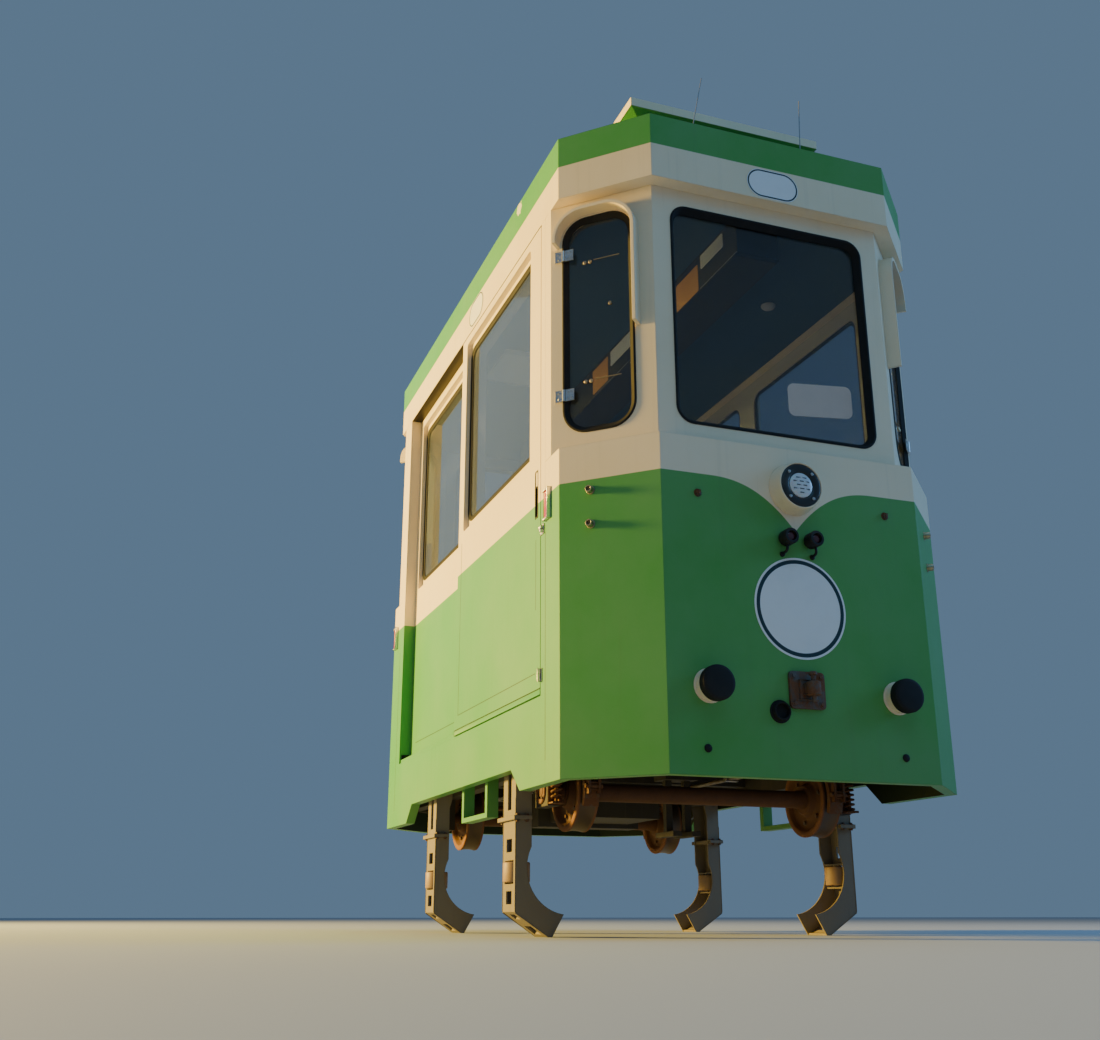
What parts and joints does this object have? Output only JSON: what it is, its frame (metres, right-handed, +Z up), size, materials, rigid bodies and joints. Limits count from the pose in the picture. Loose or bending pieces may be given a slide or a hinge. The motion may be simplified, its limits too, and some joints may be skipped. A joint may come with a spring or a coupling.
{
  "type": "elevated capsule car",
  "caption": "Small tram-style cabin car with octagonal ends, sliding side door and hook arms, running on two parallel tube rails.",
  "frame": {"origin": "on the floor plane under the middle of the car, at the lower ends of the hook arms", "axes": "+X is the driving direction, +Y the car's left, +Z up"},
  "size_m": [3.306, 1.6352, 3.4299],
  "materials": {
    "green_paint": "satin light green paint",
    "cream_paint": "satin cream paint",
    "window_glass": "dark tinted glass",
    "wheel_steel": "rusted cast wheel with a worn tread",
    "arm_steel": "weathered grey-brown paint",
    "roller_plastic": "pale cast nylon",
    "black_rubber": "black rubber",
    "dark_steel": "dark chassis paint with road dirt",
    "lamp_housing": "dark lamp housing",
    "cabin_lining": "pale grey lining",
    "seat_cloth": "green woven cloth"
  },
  "bodies": {
    "car": {"aerial_left": "black_rubber", "aerial_right": "black_rubber", "bench_back": "seat_cloth", "bench_frame": "cabin_lining", "bench_seat": "seat_cloth", "ceiling_liner": "cabin_lining", "current_collector": "dark_steel", "door_rail": "arm_steel", "drive_unit": "dark_steel", "floor": "dark_steel", "front_buffer_left": "black_rubber", "front_buffer_right": "black_rubber", "front_coupler": "dark_steel", "front_head_lamp": "lamp_housing", "front_lower_moulding": "green_paint", "front_quarter_window_left": "window_glass", "front_quarter_window_right": "window_glass", "front_upper_moulding": "cream_paint", "front_window": "window_glass", "hook_arm_front_left": "arm_steel", "hook_arm_front_right": "arm_steel", "hook_arm_rear_left": "arm_steel", "hook_arm_rear_right": "arm_steel", "jacking_frame_left": "green_paint", "jacking_frame_right": "green_paint", "left_front_window": "window_glass", "left_rear_window": "window_glass", "left_side_frame": "green_paint", "rear_buffer_left": "black_rubber", "rear_buffer_right": "black_rubber", "rear_coupler": "dark_steel", "rear_head_lamp": "lamp_housing", "rear_lower_moulding": "green_paint", "rear_quarter_window_left": "window_glass", "rear_quarter_window_right": "window_glass", "rear_upper_moulding": "cream_paint", "rear_window": "window_glass", "right_rear_window": "window_glass", "right_side_frame": "green_paint", "roof_box": "green_paint", "roof_shell": "green_paint", "underframe": "dark_steel"},
    "door": {"sliding_door": "green_paint", "door_window": "window_glass"},
    "front_wheels": {"front_wheelset": "wheel_steel"},
    "rear_wheels": {"rear_wheelset": "wheel_steel"},
    "roller_front_left": {"guide_roller_front_left": "roller_plastic"},
    "roller_front_right": {"guide_roller_front_right": "roller_plastic"},
    "roller_rear_left": {"guide_roller_rear_left": "roller_plastic"},
    "roller_rear_right": {"guide_roller_rear_right": "roller_plastic"}
  },
  "joints": [
    {"name": "door_slide", "type": "slide", "parent": "car", "child": "door", "axis": [-1, 0, 0], "range_m": [0, 1.035]},
    {"name": "front_wheels_turn", "type": "hinge", "parent": "car", "child": "front_wheels", "pos_m": [0.728, 0, 0.529], "axis": [0, 1, 0], "continuous": true},
    {"name": "rear_wheels_turn", "type": "hinge", "parent": "car", "child": "rear_wheels", "pos_m": [-0.728, 0, 0.529], "axis": [0, 1, 0], "continuous": true},
    {"name": "roller_front_left_turn", "type": "hinge", "parent": "car", "child": "roller_front_left", "pos_m": [0.59, 0.712, 0.234], "axis": [0, 0, 1], "continuous": true},
    {"name": "roller_front_right_turn", "type": "hinge", "parent": "car", "child": "roller_front_right", "pos_m": [0.59, -0.712, 0.234], "axis": [0, 0, 1], "continuous": true},
    {"name": "roller_rear_left_turn", "type": "hinge", "parent": "car", "child": "roller_rear_left", "pos_m": [-0.59, 0.712, 0.234], "axis": [0, 0, 1], "continuous": true},
    {"name": "roller_rear_right_turn", "type": "hinge", "parent": "car", "child": "roller_rear_right", "pos_m": [-0.59, -0.712, 0.234], "axis": [0, 0, 1], "continuous": true}
  ]
}
